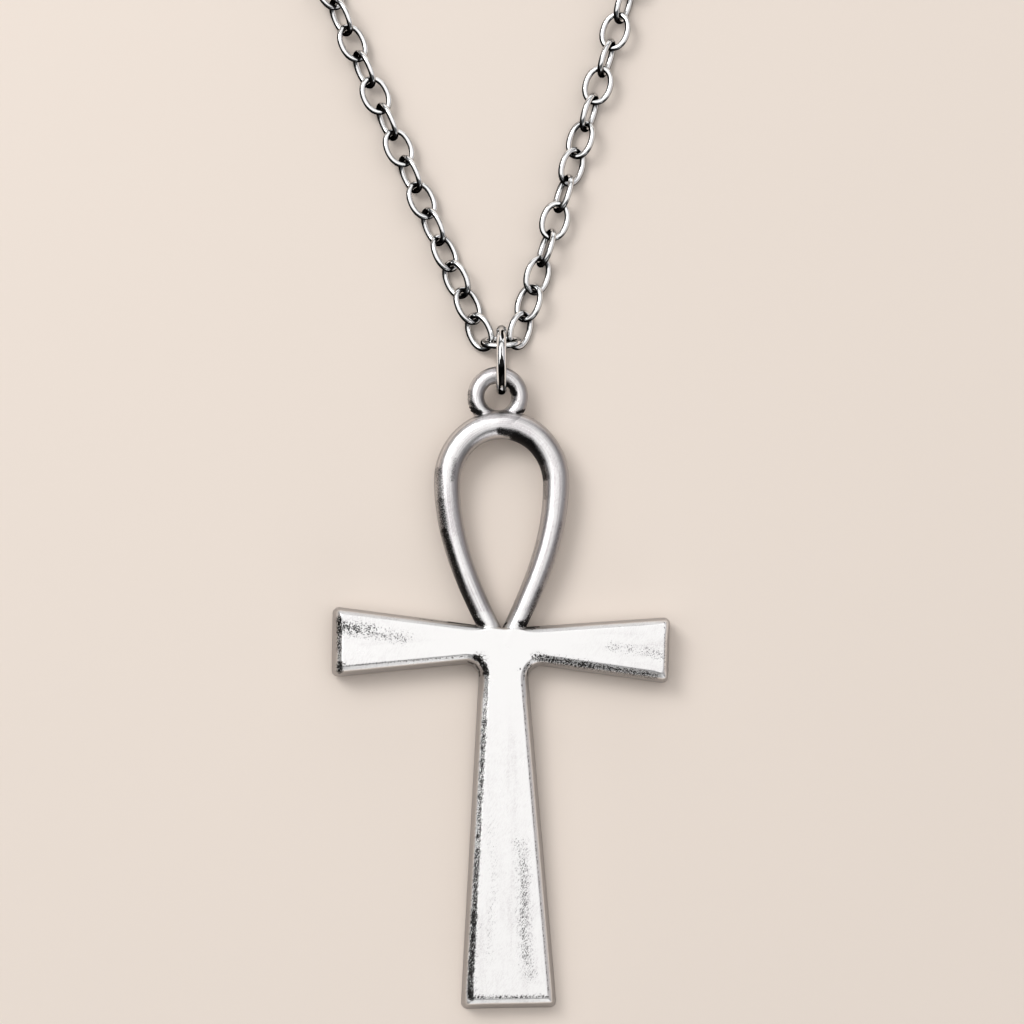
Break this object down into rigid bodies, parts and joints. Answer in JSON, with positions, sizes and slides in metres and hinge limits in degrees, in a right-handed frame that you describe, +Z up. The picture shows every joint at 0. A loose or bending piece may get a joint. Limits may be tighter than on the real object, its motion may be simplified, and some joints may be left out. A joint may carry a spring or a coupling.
{
  "type": "ankh pendant necklace",
  "caption": "Cast ankh cross with a teardrop loop and flared arms, hung by a jump ring from an oval cable chain that closes with a plain clasp.",
  "frame": {"origin": "on the surface that the necklace lies on, under the middle of its length and width", "axes": "+Y along the necklace from the foot of the ankh to the clasp, +Z up out of the face of the ankh"},
  "size_m": [0.0996, 0.2494, 0.007],
  "materials": {
    "antique_silver": "silver-coloured casting, brushed lengthwise, with dark patina left in its corners and low edges",
    "polished_steel": "bright polished wire"
  },
  "bodies": {
    "root": {"ankh": "antique_silver", "jump_ring": "polished_steel", "chain_left": "polished_steel", "chain_right": "polished_steel", "clasp": "polished_steel"}
  },
  "joints": []
}
